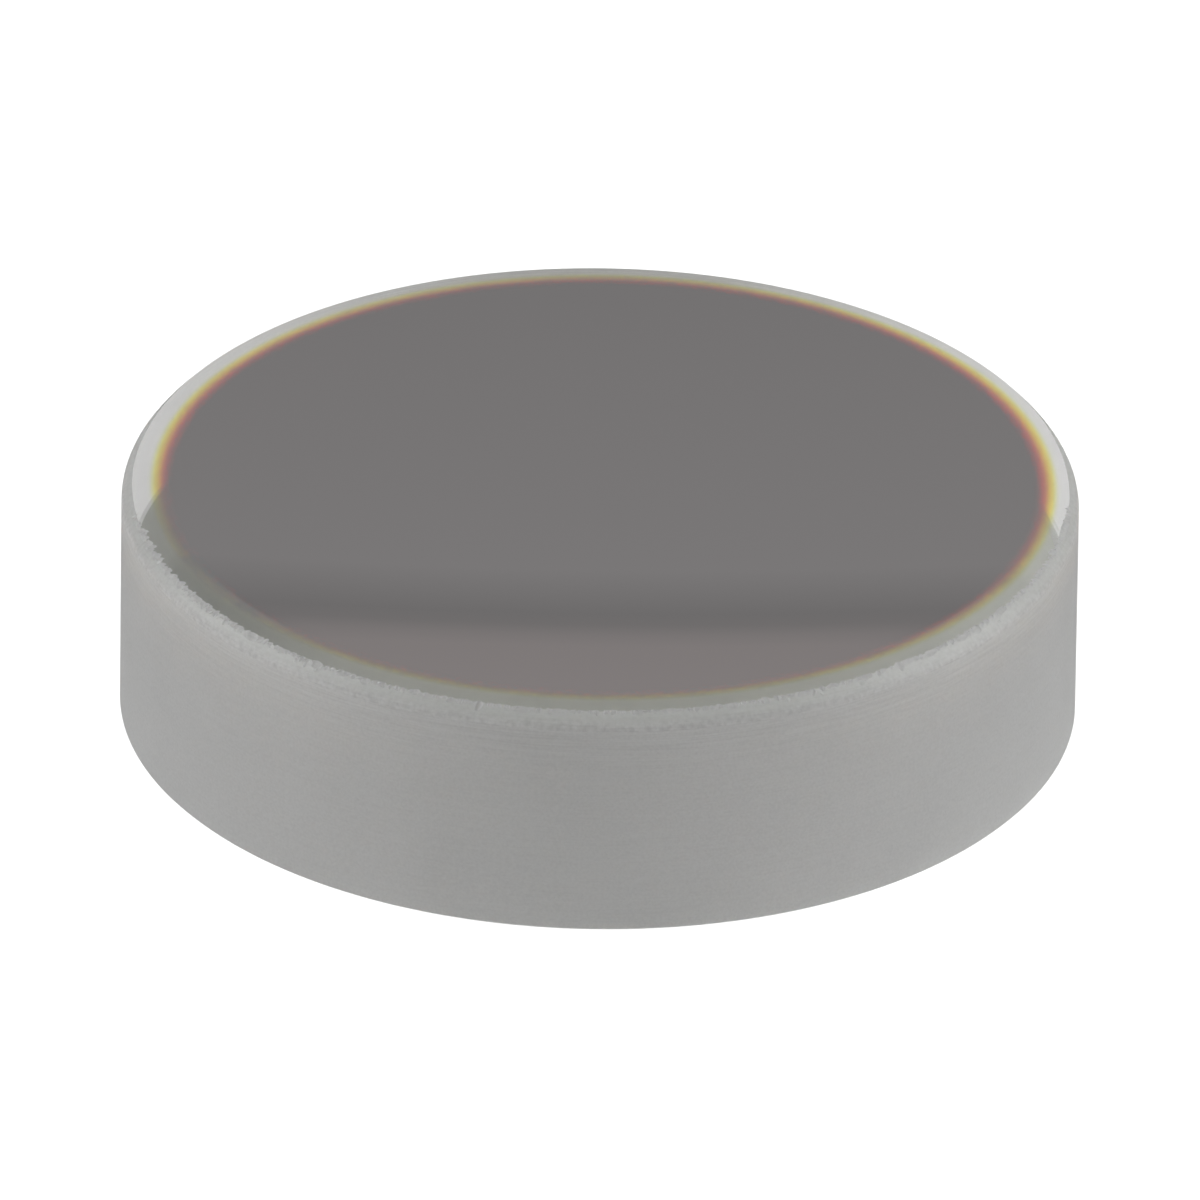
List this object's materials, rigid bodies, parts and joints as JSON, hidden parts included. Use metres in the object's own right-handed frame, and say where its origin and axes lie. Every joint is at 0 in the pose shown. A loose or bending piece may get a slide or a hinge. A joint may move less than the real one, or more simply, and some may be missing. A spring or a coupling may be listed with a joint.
{
  "type": "concave mirror",
  "caption": "Round concave glass mirror: hollow spherical front face with a reflective film, bare polished ring, ground side and bevels, flat back.",
  "frame": {"origin": "centre of the flat back face", "axes": "+Z along the optical axis, out of the hollow coated face; X and Y are alike, square to the axis"},
  "size_m": [0.0126, 0.0126, 0.0032],
  "materials": {
    "ground_glass": "clear optical glass, fine ground and matte on its side and bevels, polished on its faces",
    "mirror_film": "neutral reflective film on the hollow face, thinning to red, orange and yellow at its edge"
  },
  "bodies": {
    "root": {"glass_substrate": "ground_glass", "reflective_film": "mirror_film"}
  },
  "joints": []
}
